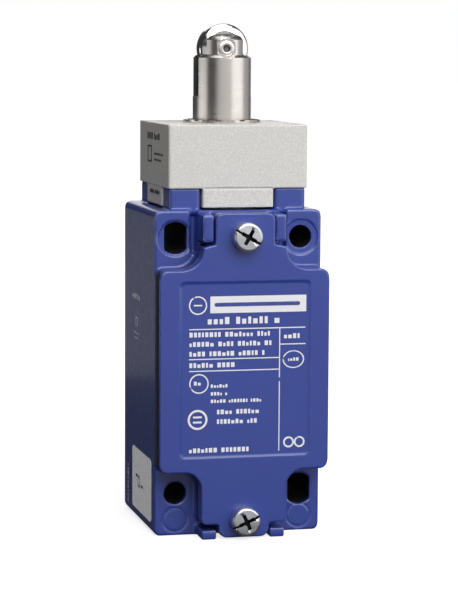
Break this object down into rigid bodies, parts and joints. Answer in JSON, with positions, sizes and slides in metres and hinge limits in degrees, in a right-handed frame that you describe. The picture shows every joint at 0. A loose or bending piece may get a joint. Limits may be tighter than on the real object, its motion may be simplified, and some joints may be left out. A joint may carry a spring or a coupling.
{
  "type": "limit switch",
  "caption": "Metal-bodied limit switch with a steel roller plunger head, screwed front cover, four-hole fixing and a threaded cable entry in the bottom.",
  "frame": {"origin": "centre of the four-hole fixing pattern, on the back mounting face", "axes": "+X right seen from the front, +Y out of the back mounting face (the cover is towards -Y), +Z along the body towards the roller"},
  "size_m": [0.0404, 0.0473, 0.1198],
  "materials": {
    "body_paint": "satin blue stoving enamel on a die casting",
    "head_zamak": "bare tumbled zinc alloy, fine grained and matt",
    "turned_steel": "turned stainless steel",
    "ground_steel": "hardened and ground steel",
    "pressed_steel": "bright pressed steel",
    "zinc_steel": "zinc plated steel",
    "spring_steel": "drawn spring wire",
    "sintered_bronze": "sintered bronze",
    "seal_rubber": "moulded nitrile rubber",
    "black_plastic": "moulded glass filled plastic",
    "clear_white_plastic": "moulded plastic",
    "natural_plastic": "moulded acetal",
    "red_plastic": "moulded plastic",
    "contact_brass": "stamped brass",
    "silver_tip": "silver alloy",
    "label_film": "printed film"
  },
  "bodies": {
    "housing": {"body_housing": "body_paint", "cover": "body_paint", "cover_gasket": "seal_rubber", "cover_screws": "zinc_steel", "cover_screw_seals": "seal_rubber", "head_housing": "head_zamak", "head_gasket": "seal_rubber", "head_screws": "zinc_steel", "wiper_retainer": "pressed_steel", "wiper_seal": "seal_rubber", "guide_bush": "sintered_bronze", "plunger_spring": "spring_steel", "spring_seat": "zinc_steel", "rod_seal": "seal_rubber", "contact_block_base": "black_plastic", "contact_block_cover": "clear_white_plastic", "contact_return_spring": "spring_steel", "fixed_contacts": "contact_brass", "fixed_tips": "silver_tip", "terminal_clamps": "zinc_steel", "terminal_screws": "zinc_steel", "contact_block_screws": "zinc_steel", "earth_clamp": "contact_brass", "earth_screw": "contact_brass", "side_label": "label_film"},
    "plunger": {"roller_plunger": "turned_steel", "roller_pin": "turned_steel", "stop_ring": "spring_steel", "transfer_rod": "natural_plastic"},
    "roller": {"roller": "ground_steel"},
    "contact_plunger": {"contact_plunger": "red_plastic"},
    "contact_carrier": {"bridge_carrier": "red_plastic", "closed_bridge": "contact_brass", "open_bridge": "contact_brass", "bridge_tips": "silver_tip", "overtravel_spring": "spring_steel"}
  },
  "joints": [
    {"name": "plunger_slide", "type": "slide", "parent": "housing", "child": "plunger", "axis": [0, 0, -1], "range_m": [0, 0.0055], "stiffness_N_per_m": 1500, "springref_m": -0.008, "deforming": ["plunger_spring"]},
    {"name": "roller_spin", "type": "hinge", "parent": "plunger", "child": "roller", "pos_m": [0, -0.0192, 0.07375], "axis": [0, 1, 0], "continuous": true},
    {"name": "contact_push", "type": "slide", "parent": "housing", "child": "contact_plunger", "axis": [0, 0, -1], "range_m": [0, 0.0055]},
    {"name": "carrier_slide", "type": "slide", "parent": "housing", "child": "contact_carrier", "axis": [0, 0, -1], "range_m": [0, 0.0022], "deforming": ["contact_return_spring", "overtravel_spring"]}
  ],
  "couplings": [
    {"joint": "contact_push", "follows": "plunger_slide", "ratio": 1},
    {"joint": "carrier_slide", "follows": "plunger_slide", "ratio": 0.4}
  ]
}
